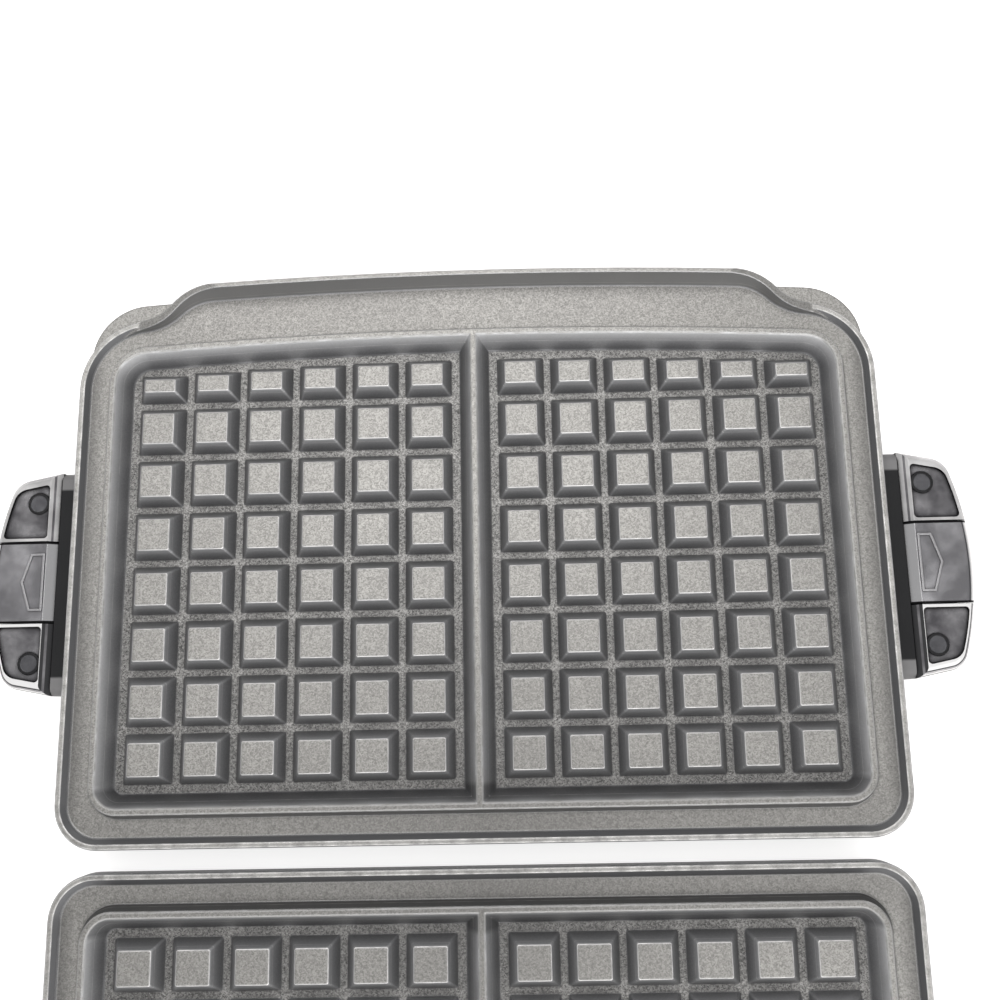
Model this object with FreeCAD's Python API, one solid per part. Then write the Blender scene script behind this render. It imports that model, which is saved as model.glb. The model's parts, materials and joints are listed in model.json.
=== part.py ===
"""A pair of plug-in waffle plates with side handles and spring-loaded release tabs.

Millimetres. +X runs across the plate, +Y to the front edge of the lower plate, +Z up.
The origin is the middle of the lower plate's resting face. The upper plate lies open behind it,
turned half a turn about Z, and closes about the line between the two back edges.
"""
import FreeCAD, Part
import math
import os

# Waffle grids
tooth_columns = 6
tooth_rows = 8
tooth_pitch_x = 22.0
tooth_pitch_y = 21.9
tooth_base = 19.15
tooth_top = 12.45
tooth_height = 6.8
tooth_corner_radius = 0.9
tooth_edge_radius = 0.6
first_row_reach = 9.6
floor_band = 3.6

# Cooking face, from the grids out to the rim
wall_run = 4.7
divider_top = 2.4
bead_top_width = 2.3
bead_foot_run = 1.9
channel_side = 8.2
channel_back = 7.2
channel_lip = 18.5
rim_run = 2.0
rim_top_width = 2.0
front_bow_radius = 2200.0
bead_back_corner = 11.0
bead_front_corner = 15.0
rim_back_corner = 17.0
rim_front_corner = 29.0
ledge_corner = 26.0
lip_hollow_radius = 20.0
lip_shoulder_radius = 24.0
lip_turn_deg = 84.0
lip_ramp_foot = 5.6
lip_ramp = 36.0
edge_round = 0.5

# Heights above the resting face
plate_height = 30.0
bead_above_teeth = 2.0
bead_height = 6.0
rim_rise = 2.0
lip_rise = 9.4
rim_wall = 7.0
ledge_drop = 6.0
web_thickness = 5.0
skirt_inset = 2.2
skirt_wall = 4.0
skirt_bottom = 6.5

# Making: overlap of joined solids, reach of cutting shapes, and tolerance when edges are picked
fuse_overlap = 1.0
cut_margin = 1.0
pick_tolerance = 0.01

# Pair of plates
plate_gap = 8.4
closed_gap = 0.5

# Base cover
cover_sheet = 0.8
cover_flange = 12.0
cover_edge_inset = 0.5
cover_screw_clearance = 14.4

# Screws, one size throughout
screw_radius = 1.65
screw_head_radius = 3.4
screw_head_height = 2.2
screw_socket_radius = 1.5
screw_socket_depth = 1.2
screw_hole_depth = 10.0
screw_tip_gap = 1.0
blind_end = 1.0
screw_fit = 0.05
screw_passage = 0.35
boss_radius = 4.8

# Heating element
element_radius = 3.25
element_half_width = 96.0
element_back_inset = 46.0
element_front_inset = 62.0
element_bend = 30.0
element_lead_bend = 14.0
element_lead_x = 12.0
cold_pin_radius = 1.9
cold_pin_length = 8.0
cold_pin_bare = 2.0
element_gap = 0.05

# Element straps
strap_length = 30.0
strap_width = 11.0
strap_sheet = 1.5

# Terminal block and contact inlet
block_half_width = 21.0
block_depth = 24.0
inlet_half_width = 15.0
inlet_height = 5.2
inlet_depth = 14.0
inlet_wall = 1.6
inlet_fit = 0.2
blade_spacing = 15.0
blade_width = 3.6
blade_thickness = 0.8
blade_length = 16.0
blade_seat = 6.0
blade_fit = 0.05

# Thermal cut-out
cutout_radius = 8.0
cutout_height = 7.0
cutout_flange_length = 34.0
cutout_flange_width = 11.0
cutout_flange_sheet = 1.5
cutout_y = -20.0

# Handles
handle_y = -10.0
handle_half = 45.5
handle_taper = 0.2
handle_reach = 26.4
handle_bow_radius = 120.0
handle_corner = 9.0
handle_top = 20.5
handle_bottom = 2.0
handle_edge_radius = 3.5
handle_chamfer_width = 4.0
handle_chamfer_drop = 2.6
bracket_depth = 10.0
bracket_rim_gap = 0.4
bracket_end_radius = 4.0
base_thickness = 5.0
grip_wall = 2.2
grip_roof = 3.0
grip_fit = 0.25
panel_depth = 1.0
panel_border = 2.6
panel_end_border = 4.2
panel_inner_border = 4.2
panel_seam_border = 1.2
panel_corner = 1.6
plug_x = 8.8
plug_y = 32.5
plug_radius = 4.4
plug_fit = 0.05
plug_proud = 0.4
plug_dimple = 0.5
plug_ring = 1.0
plug_boss_wall = 1.5
screw_seat = 4.0
bracket_screw_y = 27.0
bracket_screw_z = 12.0

# Release tab, latch bolt and springs
tab_half = 16.4
tab_seam = 0.35
tab_lift = 0.3
tab_travel = 6.0
rib_x = 4.5
rib_thickness = 2.5
leg_half_width = 5.0
peg_radius = 1.5
peg_fit = 0.05
arrow_back_x = 5.3
arrow_shoulder_x = 9.4
arrow_tip_x = 12.8
arrow_half = 10.8
arrow_line = 0.8
arrow_rise = 0.35
sharp_corners = 2
bolt_half_width = 6.0
bolt_thickness = 2.0
bolt_floor = 1.2
bolt_fit = 0.1
bolt_reach = 6.0
bolt_tail = 2.0
bolt_ramp_run = 2.0
bolt_ramp_rise = 1.5
bolt_spare_travel = 1.0
post_x = 18.0
post_thickness = 2.5
post_half = 12.5
post_height = 9.0
spring_y = 9.0
spring_z = 12.5
spring_radius = 2.4
spring_wire = 0.35
spring_turns = 6
spring_gap = 0.05

# Worked out from the sizes above
tooth_half = tooth_base / 2
tooth_top_half = tooth_top / 2
inner_column_x = divider_top / 2 + wall_run + floor_band + tooth_half
outer_column_x = inner_column_x + (tooth_columns - 1) * tooth_pitch_x
rim_stack = rim_run + rim_top_width
back_stack = wall_run + bead_top_width + bead_foot_run + channel_back + rim_stack
lip_stack = wall_run + bead_top_width + bead_foot_run + channel_lip + rim_stack
grid_depth = floor_band + tooth_half + (tooth_rows - 1) * tooth_pitch_y + first_row_reach
plate_depth = back_stack + grid_depth + lip_stack
back_edge = -plate_depth / 2
lip_edge = plate_depth / 2
floor_back = back_edge + back_stack
floor_front = lip_edge - lip_stack
floor_half = outer_column_x + tooth_half + floor_band
last_row_y = floor_back + floor_band + tooth_half
bead_half = floor_half + wall_run + bead_top_width
bead_back = floor_back - wall_run - bead_top_width
bead_front = floor_front + wall_run + bead_top_width
rim_half = bead_half + bead_foot_run + channel_side + rim_stack
short_edge = bead_front + bead_foot_run + channel_back + rim_stack
skirt_half = rim_half - skirt_inset

tooth_top_z = plate_height - bead_above_teeth
floor_z = tooth_top_z - tooth_height
channel_z = plate_height - bead_height
rim_z = channel_z + rim_rise
lip_z = channel_z + lip_rise
rim_under_z = rim_z - rim_wall
ledge_z = rim_z - ledge_drop
recess_z = floor_z - web_thickness
hinge_y = back_edge - plate_gap / 2
hinge_z = plate_height + closed_gap / 2

base_top = handle_bottom + base_thickness
bolt_z = handle_bottom + bolt_floor
bolt_top = bolt_z + bolt_thickness
grip_x = skirt_half + bracket_depth
wall_inner_x = skirt_half - skirt_wall
wall_inner_back = back_edge + skirt_inset + skirt_wall
seat_z = base_top + screw_seat
element_z = recess_z - element_radius - element_gap
strap_top = element_z - element_radius - element_gap
strap_hole_depth = screw_hole_depth - strap_sheet
cutout_hole_depth = web_thickness - blind_end
pilot_radius = screw_radius + screw_fit
passage_radius = screw_radius + screw_passage


def vec(x, y, z=0.0):
    return FreeCAD.Vector(x, y, z)


def line(start, end):
    return Part.LineSegment(start, end).toShape()


def turn(centre, radius, first_deg, last_deg):
    """Arc about a centre, from one angle to another."""
    angles = (first_deg, (first_deg + last_deg) / 2, last_deg)
    points = [polar(centre, radius, angle) for angle in angles]
    return Part.Arc(*points).toShape()


def polar(centre, radius, angle_deg):
    angle = math.radians(angle_deg)
    return centre + vec(radius * math.cos(angle), radius * math.sin(angle))


def heading(start, end):
    return math.degrees(math.atan2(end.y - start.y, end.x - start.x))


def box(x0, x1, y0, y1, z0, z1):
    return Part.makeBox(x1 - x0, y1 - y0, z1 - z0, vec(x0, y0, z0))


def rod(radius, height, base, direction=None):
    return Part.makeCylinder(radius, height, base, direction or vec(0, 0, 1))


def prism(wire, height):
    return Part.Face(wire).extrude(vec(0, 0, height))


def polygon_prism(points, direction):
    return Part.Face(Part.makePolygon(points + points[:1])).extrude(direction)


def mirrored_x(shape):
    return shape.mirror(vec(0, 0, 0), vec(1, 0, 0))


# Outlines of the plate, seen from above


def corner_centres(half, back, front, back_radius, front_radius):
    """Centres of the right-hand corners and of the bowed front edge."""
    bow = vec(0, front - front_bow_radius)
    across = half - front_radius
    along = math.sqrt((front_bow_radius - front_radius) ** 2 - across ** 2)
    return vec(half - back_radius, back + back_radius), vec(across, bow.y + along), bow


def closed_outline(right_edges, bow_edge, back_line, z):
    """Right-hand edges from back to front, the bow, and their mirror image."""
    left_edges = [mirrored_x(edge) for edge in reversed(right_edges)]
    wire = Part.Wire(Part.__sortEdges__([back_line] + right_edges + [bow_edge] + left_edges))
    wire.translate(vec(0, 0, z))
    return wire


def bow_arc(bow, radius, first_deg):
    return turn(bow, radius, first_deg, 180 - first_deg)


def rounded_outline(sizes, inset, z):
    """Plate outline with four round corners and a bowed front, drawn in by inset."""
    half, back, front, back_radius, front_radius = sizes
    back_centre, front_centre, bow = corner_centres(*sizes)
    side_x = half - inset
    right = [
        turn(back_centre, back_radius - inset, -90, 0),
        line(vec(side_x, back_centre.y), vec(side_x, front_centre.y)),
        turn(front_centre, front_radius - inset, 0, heading(bow, front_centre)),
    ]
    front_arc = bow_arc(bow, front_bow_radius - inset, heading(bow, front_centre))
    back_y = back + inset
    back_line = line(vec(-back_centre.x, back_y), vec(back_centre.x, back_y))
    return closed_outline(right, front_arc, back_line, z)


def circle_crossing(first, first_radius, second, second_radius):
    """Crossing point of two circles, on the left when looking from first to second."""
    gap = (second - first).Length
    along = (gap ** 2 + first_radius ** 2 - second_radius ** 2) / (2 * gap)
    side = math.sqrt(first_radius ** 2 - along ** 2)
    ahead = (second - first) * (1 / gap)
    return first + ahead * along + vec(-ahead.y, ahead.x) * side


def lip_outline(inset, z):
    """Rim of the lower plate: its front corners swing out in an S to the pouring lip."""
    back_centre, front_centre, _ = corner_centres(*rim_sizes)
    bow = vec(0, lip_edge - front_bow_radius)
    hollow_reach = rim_front_corner + lip_hollow_radius
    hollow = polar(front_centre, hollow_reach, lip_turn_deg)
    shoulder = circle_crossing(bow, front_bow_radius - lip_shoulder_radius,
                               hollow, lip_hollow_radius + lip_shoulder_radius)
    side_x = rim_half - inset
    right = [
        turn(back_centre, rim_back_corner - inset, -90, 0),
        line(vec(side_x, back_centre.y), vec(side_x, front_centre.y)),
        turn(front_centre, rim_front_corner - inset, 0, lip_turn_deg),
        turn(hollow, lip_hollow_radius + inset, lip_turn_deg - 180, heading(hollow, shoulder)),
        turn(shoulder, lip_shoulder_radius - inset, heading(shoulder, hollow), heading(bow, shoulder)),
    ]
    front_arc = bow_arc(bow, front_bow_radius - inset, heading(bow, shoulder))
    back_y = back_edge + inset
    back_line = line(vec(-back_centre.x, back_y), vec(back_centre.x, back_y))
    return closed_outline(right, front_arc, back_line, z)


def plain_rim_outline(inset, z):
    return rounded_outline(rim_sizes, inset, z)


def bead_outline(inset, z):
    return rounded_outline(bead_sizes, inset, z)


def pocket_outline(inset, z):
    """Right-hand batter pocket: the bead's inner outline, closed by the divider."""
    back_centre, front_centre, bow = corner_centres(*bead_sizes)
    drawn_in = bead_top_width + inset
    divider_x = divider_top / 2 + inset
    side_x = bead_half - drawn_in
    back_y = bead_back + drawn_in
    bow_radius = front_bow_radius - drawn_in
    divider_end = math.degrees(math.acos(divider_x / bow_radius))
    front_end = polar(bow, bow_radius, divider_end)
    edges = [
        line(vec(divider_x, back_y), vec(back_centre.x, back_y)),
        turn(back_centre, bead_back_corner - drawn_in, -90, 0),
        line(vec(side_x, back_centre.y), vec(side_x, front_centre.y)),
        turn(front_centre, bead_front_corner - drawn_in, 0, heading(bow, front_centre)),
        turn(bow, bow_radius, heading(bow, front_centre), divider_end),
        line(front_end, vec(divider_x, back_y)),
    ]
    wire = Part.Wire(edges)
    wire.translate(vec(0, 0, z))
    return wire


def stacked(outline, sections):
    """Solid through an outline drawn at several heights: sections are (z, inset)."""
    return Part.makeLoft([outline(inset, z) for z, inset in sections], True, True)


bead_sizes = (bead_half, bead_back, bead_front, bead_back_corner, bead_front_corner)
rim_sizes = (rim_half, back_edge, short_edge, rim_back_corner, rim_front_corner)


def skirt_outline(with_lip, inset):
    front = lip_edge if with_lip else short_edge
    corner = ledge_corner if with_lip else rim_front_corner
    sizes = (rim_half, back_edge, front, rim_back_corner, corner)
    return rounded_outline(sizes, skirt_inset + inset, 0)


# Waffle plate casting


def tooth(front_base):
    """Four-sided tooth about its own centre; front_base is how far its base reaches to the front."""
    draft = (tooth_half - tooth_top_half) / tooth_height
    spread = tooth_half + draft * fuse_overlap
    front = front_base + draft * fuse_overlap
    top_front = front_base - draft * tooth_height
    solid = Part.makeWedge(-spread, floor_z - fuse_overlap, -front, -top_front, -tooth_top_half,
                           spread, tooth_top_z, spread, tooth_top_half, tooth_top_half)
    solid.rotate(vec(0, 0), vec(1, 0, 0), 90)
    slanted = [edge for edge in solid.Edges if edge.BoundBox.ZLength > tooth_height]
    solid = solid.makeFillet(tooth_corner_radius, slanted)
    top_edges = [edge for edge in solid.Edges if edge.BoundBox.ZMin > tooth_top_z - pick_tolerance]
    return solid.makeFillet(tooth_edge_radius, top_edges)


def tooth_reach(x, y):
    """How far a tooth's base reaches to the front before the bowed front wall cuts it back."""
    bow_drop = front_bow_radius - math.sqrt(front_bow_radius ** 2 - x ** 2)
    return min(tooth_half, floor_front - bow_drop - floor_band - y)


def teeth():
    columns = [inner_column_x + column * tooth_pitch_x for column in range(tooth_columns)]
    solids = []
    for row in range(tooth_rows):
        y = last_row_y + row * tooth_pitch_y
        for x in columns:
            solid = tooth(tooth_reach(x, y))
            for place in (x, -x):
                copy = solid.copy()
                copy.translate(vec(place, y))
                solids.append(copy)
    return solids


def channel_space(outline, top_z):
    """Space of the overflow channel: rounded foot, then one slope up to the edge at top_z."""
    return stacked(outline, [
        (channel_z, rim_stack + edge_round),
        (channel_z + edge_round, rim_stack),
        (top_z, rim_top_width),
        (top_z + cut_margin, rim_top_width),
    ])


def pouring_lip():
    """Raised front wall: the rim's outline up to the lip, with shoulders that fall to the channel."""
    _, front_centre, _ = corner_centres(*rim_sizes)
    foot_x = front_centre.x + lip_ramp_foot
    top_x = foot_x - lip_ramp
    ramp_top_z = lip_z + edge_round
    toe_x = foot_x + lip_ramp * rim_rise / (ramp_top_z - rim_z)
    profile = [vec(-toe_x, 0, rim_under_z), vec(toe_x, 0, rim_under_z), vec(toe_x, 0, channel_z),
               vec(top_x, 0, ramp_top_z), vec(-top_x, 0, ramp_top_z), vec(-toe_x, 0, channel_z)]
    for corner in profile:
        corner.y = bead_front
    window = polygon_prism(profile, vec(0, lip_edge - bead_front + edge_round, 0))
    wall = stacked(lip_outline, [(rim_under_z, 0), (lip_z - edge_round, 0), (lip_z, edge_round)])
    return wall.common(window).cut(channel_space(lip_outline, lip_z))


def casting_block(with_lip):
    """Skirt and rim, filled solid, with the overflow channel cut down inside the rim."""
    outline = lip_outline if with_lip else plain_rim_outline
    skirt = prism(skirt_outline(with_lip, 0), ledge_z - skirt_bottom)
    skirt.translate(vec(0, 0, skirt_bottom))
    rim = stacked(outline, [(rim_under_z, 0), (rim_z - edge_round, 0), (rim_z, edge_round)])
    block = skirt.fuse(rim).cut(channel_space(outline, rim_z))
    if with_lip:
        block = block.fuse(pouring_lip())
    return block


def bead():
    """Sealing bead round the grids, filled solid and rounded along its outer edge."""
    slope = bead_foot_run / bead_height
    return stacked(bead_outline, [
        (channel_z - edge_round, -bead_foot_run - slope * edge_round),
        (plate_height - edge_round, -slope * edge_round),
        (plate_height, edge_round / 2),
    ])


def pocket():
    """Batter pocket with sloped walls, rounded at the bead and at the floor."""
    slope = wall_run / (plate_height - floor_z)
    return stacked(pocket_outline, [
        (floor_z, wall_run + edge_round / 2),
        (floor_z + edge_round, wall_run - slope * edge_round),
        (plate_height - edge_round, slope * edge_round),
        (plate_height, -edge_round / 2),
        (plate_height + edge_round, -edge_round / 2),
    ])


def cover_screw_points(with_lip):
    """Places of the cover screws, inside the skirt and clear of the handles and the inlet."""
    inset = skirt_inset + cover_flange / 2
    side_x = rim_half - inset
    front_y = (lip_edge if with_lip else short_edge) - inset
    quarter_x = rim_half / 2
    points = []
    for sign in (-1, 1):
        points.append(vec(sign * quarter_x, back_edge + inset))
        points.append(vec(sign * quarter_x, front_y - quarter_x ** 2 / (2 * front_bow_radius)))
        points.append(vec(sign * side_x, handle_y - handle_half - cover_screw_clearance))
        points.append(vec(sign * side_x, handle_y + handle_half + cover_screw_clearance))
    return points


def strap_points():
    """Middle of each strap, with the direction across the element there."""
    element_front = lip_edge - element_front_inset
    middle_y = (back_edge + element_back_inset + element_front) / 2
    across_x = vec(1, 0)
    across_y = vec(0, 1)
    return [(vec(-element_half_width, middle_y), across_x), (vec(element_half_width, middle_y), across_x),
            (vec(-element_half_width / 2, element_front), across_y),
            (vec(element_half_width / 2, element_front), across_y)]


def strap_screw_points():
    offset = strap_length / 2 - boss_radius
    return [middle + across * (side * offset) for middle, across in strap_points() for side in (-1, 1)]


def cutout_screw_points():
    offset = cutout_flange_length / 2 - boss_radius
    return [vec(-offset, cutout_y), vec(offset, cutout_y)]


def handle_screw_points():
    return [vec(wall_inner_x, handle_y + side * bracket_screw_y, bracket_screw_z) for side in (-1, 1)]


def inlet_window(clearance):
    """Opening in the back wall for the shroud of the contact inlet."""
    half = inlet_half_width + inlet_wall + clearance
    rise = inlet_height / 2 + inlet_wall + clearance
    return box(-half, half, back_edge, wall_inner_back, element_z - rise, element_z + rise)


def casting_underside(with_lip):
    """Hollow under the casting."""
    hollow = prism(skirt_outline(with_lip, skirt_wall), recess_z - skirt_bottom + skirt_wall)
    hollow.translate(vec(0, 0, skirt_bottom - skirt_wall))
    return hollow


def casting_bosses(with_lip):
    """Screw bosses that stand down from the web, joined to the wall where they are near it."""
    full = [rod(boss_radius, recess_z - skirt_bottom + fuse_overlap, point + vec(0, 0, skirt_bottom))
            for point in cover_screw_points(with_lip)]
    short = [rod(boss_radius, recess_z - strap_top + fuse_overlap, point + vec(0, 0, strap_top))
             for point in strap_screw_points()]
    return full + short


def casting_holes(with_lip):
    holes = [rod(pilot_radius, screw_hole_depth, point + vec(0, 0, skirt_bottom))
             for point in cover_screw_points(with_lip)]
    holes += [rod(pilot_radius, strap_hole_depth, point + vec(0, 0, strap_top))
              for point in strap_screw_points()]
    holes += [rod(pilot_radius, cutout_hole_depth, point + vec(0, 0, recess_z))
              for point in cutout_screw_points()]
    for point in handle_screw_points():
        hole = rod(passage_radius, skirt_wall + skirt_inset, point - vec(skirt_inset, 0, 0), vec(1, 0, 0))
        holes += [hole, mirrored_x(hole)]
    holes.append(inlet_window(inlet_fit))
    return holes


def waffle_plate(with_lip):
    right_pocket = pocket()
    plate = casting_block(with_lip).fuse(bead())
    plate = plate.cut([right_pocket, mirrored_x(right_pocket)])
    plate = plate.cut(casting_underside(with_lip))
    plate = plate.fuse(casting_bosses(with_lip))
    plate = plate.cut(casting_holes(with_lip))
    return plate.fuse(teeth()).removeSplitter()


# Screws


def screw(point, direction, length):
    """Screw with its head's seat at point; direction is the way it is driven."""
    shank = rod(screw_radius, length, vec(0, 0, -length))
    head = rod(screw_head_radius, screw_head_height, vec(0, 0, 0))
    socket = Part.makePolygon([polar(vec(0, 0), screw_socket_radius, 60 * side) for side in range(7)])
    recess = prism(socket, screw_socket_depth)
    recess.translate(vec(0, 0, screw_head_height - screw_socket_depth))
    solid = head.fuse(shank).cut(recess).removeSplitter()
    solid.Placement = FreeCAD.Placement(point, FreeCAD.Rotation(vec(0, 0, -1), direction))
    return solid


def cover_screws(with_lip):
    seat = skirt_bottom - cover_sheet
    length = cover_sheet + screw_hole_depth - screw_tip_gap
    return group([screw(point + vec(0, 0, seat), vec(0, 0, 1), length)
                  for point in cover_screw_points(with_lip)])


def strap_screws():
    seat = strap_top - strap_sheet
    length = strap_sheet + strap_hole_depth - screw_tip_gap
    return group([screw(point + vec(0, 0, seat), vec(0, 0, 1), length) for point in strap_screw_points()])


def cutout_screws():
    seat = recess_z - cutout_flange_sheet
    length = cutout_flange_sheet + cutout_hole_depth - screw_tip_gap
    return group([screw(point + vec(0, 0, seat), vec(0, 0, 1), length) for point in cutout_screw_points()])


def group(solids):
    return Part.makeCompound(solids)


# Pieces under the plate


def heating_element():
    """Sheathed tube in one loop under both grids, with a cold pin at each end."""
    back_y = back_edge + element_back_inset
    front_y = lip_edge - element_front_inset
    start_y = wall_inner_back + block_depth + cold_pin_bare
    bend = element_bend
    lead = element_lead_bend
    side = element_half_width
    lead_corner = vec(element_lead_x + lead, back_y - lead)
    back_corner = vec(side - bend, back_y + bend)
    front_corner = vec(side - bend, front_y - bend)
    right = [
        line(vec(element_lead_x, start_y), vec(element_lead_x, lead_corner.y)),
        turn(lead_corner, lead, 180, 90),
        line(vec(lead_corner.x, back_y), vec(back_corner.x, back_y)),
        turn(back_corner, bend, -90, 0),
        line(vec(side, back_corner.y), vec(side, front_corner.y)),
        turn(front_corner, bend, 0, 90),
    ]
    front = line(vec(front_corner.x, front_y), vec(-front_corner.x, front_y))
    left = [mirrored_x(edge) for edge in reversed(right)]
    path = Part.Wire(Part.__sortEdges__(right + [front] + left))
    path.translate(vec(0, 0, element_z))
    start = vec(element_lead_x, start_y, element_z)
    section = Part.Wire(Part.Circle(start, vec(0, 1, 0), element_radius).toShape())
    tube = path.makePipeShell([section], True, False)
    pins = []
    for sign in (-1, 1):
        end = vec(sign * element_lead_x, start_y, element_z)
        pins.append(rod(cold_pin_radius, cold_pin_length, end, vec(0, -1, 0)))
    return tube.fuse(pins).removeSplitter()


def element_straps():
    straps = []
    for middle, across in strap_points():
        half_x = (strap_length if across.x else strap_width) / 2
        half_y = (strap_width if across.x else strap_length) / 2
        straps.append(box(middle.x - half_x, middle.x + half_x, middle.y - half_y, middle.y + half_y,
                          strap_top - strap_sheet, strap_top))
    holes = [rod(passage_radius, strap_sheet, point + vec(0, 0, strap_top - strap_sheet))
             for point in strap_screw_points()]
    return group([strap.cut(holes) for strap in straps])


def blade_box(x, clearance):
    """Space of one contact blade: it stands in the inlet and sits in the block's inner wall."""
    half = blade_thickness / 2 + clearance
    rise = blade_width / 2 + clearance
    end = back_edge + skirt_inset + inlet_depth + blade_seat + clearance
    return box(x - half, x + half, end - blade_length, end, element_z - rise, element_z + rise)


def terminal_block():
    """Block in the back of the hollow; its shroud passes through the wall and holds the inlet."""
    outer_y = back_edge + skirt_inset
    body = box(-block_half_width, block_half_width, wall_inner_back, wall_inner_back + block_depth,
               skirt_bottom, recess_z)
    shroud = inlet_window(0).common(box(-rim_half, rim_half, outer_y, wall_inner_back, 0, plate_height))
    half_height = inlet_height / 2
    inlet = box(-inlet_half_width, inlet_half_width, outer_y - cut_margin, outer_y + inlet_depth,
                element_z - half_height, element_z + half_height)
    front_y = wall_inner_back + block_depth
    pin_holes = [rod(cold_pin_radius + screw_fit, cold_pin_length,
                     vec(sign * element_lead_x, front_y, element_z), vec(0, -1, 0)) for sign in (-1, 1)]
    seats = [blade_box(sign * blade_spacing / 2, blade_fit) for sign in (-1, 1)]
    return body.fuse(shroud).cut([inlet] + pin_holes + seats).removeSplitter()


def contact_blades():
    return group([blade_box(sign * blade_spacing / 2, 0) for sign in (-1, 1)])


def thermal_cutout():
    half_length = cutout_flange_length / 2
    half_width = cutout_flange_width / 2
    flange_z = recess_z - cutout_flange_sheet
    flange = box(-half_length, half_length, cutout_y - half_width, cutout_y + half_width, flange_z, recess_z)
    can = rod(cutout_radius, cutout_height, vec(0, cutout_y, flange_z - cutout_height))
    holes = [rod(passage_radius, cutout_flange_sheet, point + vec(0, 0, flange_z))
             for point in cutout_screw_points()]
    return flange.fuse(can).cut(holes).removeSplitter()


def base_cover(with_lip):
    """Sheet-metal pan: a flange under the skirt and a flat floor that the plate rests on."""
    flange = prism(skirt_outline(with_lip, cover_edge_inset), cover_sheet)
    flange.translate(vec(0, 0, skirt_bottom - cover_sheet))
    pan = prism(skirt_outline(with_lip, cover_flange), skirt_bottom)
    inside = prism(skirt_outline(with_lip, cover_flange + cover_sheet), skirt_bottom)
    inside.translate(vec(0, 0, cover_sheet))
    holes = [rod(passage_radius, cover_sheet, point + vec(0, 0, skirt_bottom - cover_sheet))
             for point in cover_screw_points(with_lip)]
    return flange.fuse(pan).cut([inside] + holes).removeSplitter()


# Handle pieces, for the right-hand side, with x measured from the grip's inner face


def grip_outline(inset, end_inset, inner_x, seam_y, z):
    """Outline of a grip end: seam, bowed outer edge, round corner and tapered end."""
    bow = vec(handle_reach - handle_bow_radius, 0)
    length = math.hypot(handle_taper, 1)
    normal = vec(handle_taper / length, 1 / length)
    end_line = handle_half / length - end_inset
    corner_radius = handle_corner - inset
    bow_radius = handle_bow_radius - inset
    reach = handle_bow_radius - handle_corner
    lean = (end_line - corner_radius - normal.dot(bow)) / reach
    corner_deg = heading(vec(0, 0), normal) - math.degrees(math.acos(lean))
    corner = polar(bow, reach, corner_deg)
    seam_deg = math.degrees(math.asin(seam_y / bow_radius))
    corner_end = corner + normal * corner_radius
    inner_end = vec(inner_x, (end_line - normal.x * inner_x) / normal.y)
    edges = [
        line(vec(inner_x, seam_y), polar(bow, bow_radius, seam_deg)),
        turn(bow, bow_radius, seam_deg, corner_deg),
        turn(corner, corner_radius, corner_deg, heading(vec(0, 0), normal)),
        line(corner_end, inner_end),
        line(inner_end, vec(inner_x, seam_y)),
    ]
    wire = Part.Wire(edges)
    wire.translate(vec(0, 0, z))
    return wire


def tab_outline(inset, inner_x, half, z):
    bow = vec(handle_reach - handle_bow_radius, 0)
    radius = handle_bow_radius - inset
    reach_deg = math.degrees(math.asin(half / radius))
    edges = [
        line(vec(inner_x, -half), polar(bow, radius, -reach_deg)),
        turn(bow, radius, -reach_deg, reach_deg),
        line(polar(bow, radius, reach_deg), vec(inner_x, half)),
        line(vec(inner_x, half), vec(inner_x, -half)),
    ]
    wire = Part.Wire(edges)
    wire.translate(vec(0, 0, z))
    return wire


def inner_chamfer():
    """Wedge that bevels the top edge next to the plate."""
    slope = handle_chamfer_drop / handle_chamfer_width
    end_y = handle_half + cut_margin
    low_z = handle_top - handle_chamfer_drop - slope * cut_margin
    high_z = handle_top + slope * cut_margin
    far_x = handle_chamfer_width + cut_margin
    points = [vec(-cut_margin, -end_y, low_z), vec(far_x, -end_y, high_z), vec(-cut_margin, -end_y, high_z)]
    return polygon_prism(points, vec(0, 2 * end_y, 0))


def outer_top_edges(solid):
    """Edges along the top that face outwards."""
    edges = []
    for edge in solid.Edges:
        bounds = edge.BoundBox
        on_top = bounds.ZMin > handle_top - pick_tolerance
        straight_across = bounds.YLength < pick_tolerance
        along_inner_face = bounds.XMax < pick_tolerance
        if on_top and not straight_across and not along_inner_face:
            edges.append(edge)
    return edges


def sunk_panel(seam_y):
    """Shallow panel in the top of a grip end, with round corners."""
    solid = prism(grip_outline(panel_border, panel_end_border, panel_inner_border, seam_y,
                               handle_top - panel_depth), panel_depth * 2)
    corners = []
    for edge in solid.Edges:
        bounds = edge.BoundBox
        at_inner_side = bounds.XMax < panel_inner_border + pick_tolerance
        at_seam = bounds.YMax < seam_y + pick_tolerance
        if bounds.ZLength > panel_depth and (at_inner_side or at_seam):
            corners.append(edge)
    return solid.makeFillet(panel_corner, corners)


def front_grip_end():
    seam = tab_half + tab_seam
    height = handle_top - handle_bottom
    body = prism(grip_outline(0, 0, 0, seam, handle_bottom), height)
    body = body.makeFillet(handle_edge_radius, outer_top_edges(body))
    room_top = handle_top - grip_roof
    base_room = prism(grip_outline(grip_wall, grip_wall, -cut_margin, seam - cut_margin, handle_bottom),
                      base_thickness)
    room = prism(grip_outline(grip_wall, grip_wall, grip_wall, seam + grip_wall, base_top),
                 room_top - base_top)
    boss = rod(plug_radius + plug_fit + plug_boss_wall, room_top - base_top + fuse_overlap,
               vec(plug_x, plug_y, base_top))
    counterbore = rod(plug_radius + plug_fit, handle_top, vec(plug_x, plug_y, seat_z))
    passage = rod(passage_radius, screw_seat, vec(plug_x, plug_y, base_top))
    hollow = body.cut([base_room, room, inner_chamfer(), sunk_panel(seam + panel_seam_border)])
    return hollow.fuse(boss).cut([counterbore, passage]).removeSplitter()


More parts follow.
